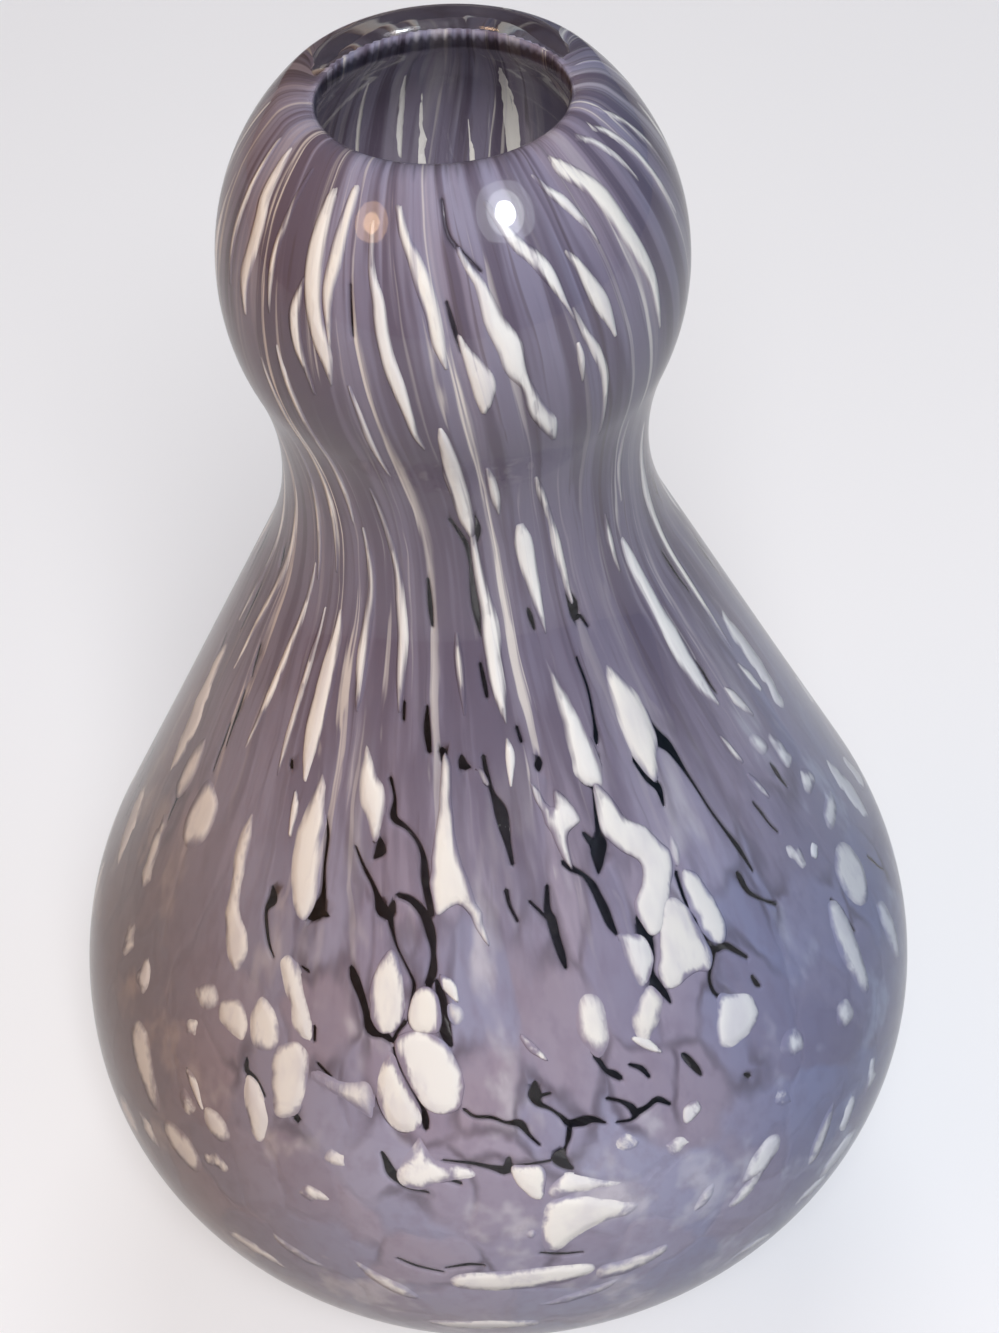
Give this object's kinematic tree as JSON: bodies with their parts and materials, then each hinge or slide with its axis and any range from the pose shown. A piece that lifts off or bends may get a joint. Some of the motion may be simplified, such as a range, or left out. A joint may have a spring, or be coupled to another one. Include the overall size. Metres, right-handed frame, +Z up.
{
  "type": "double gourd vase",
  "caption": "Blown double gourd vase in cased glass, with white and lavender chips drawn into swirling streaks between a clear inner bubble and a clear casing.",
  "frame": {"origin": "middle of the ground foot, on the surface that the vase stands on", "axes": "+Z up along the axis of the body to the mouth, -Y to the side that the picture shows, +X to its right"},
  "size_m": [0.13, 0.13, 0.2],
  "materials": {
    "clear_glass": "clear, fire-polished and glossy",
    "lavender_glass": "opaque lavender glass chips fused under clear glass",
    "white_glass": "opaque white glass chips fused under clear glass"
  },
  "bodies": {
    "root": {"outer_casing": "clear_glass", "inner_gather": "clear_glass", "lavender_chips_lower_belly": "lavender_glass", "lavender_chips_upper_belly": "lavender_glass", "lavender_chips_shoulder": "lavender_glass", "lavender_streaks_waist": "lavender_glass", "lavender_streaks_bulb": "lavender_glass", "white_chips_lower_belly": "white_glass", "white_chips_upper_belly": "white_glass", "white_chips_shoulder": "white_glass", "white_streaks_waist": "white_glass", "white_streaks_bulb": "white_glass"}
  },
  "joints": []
}
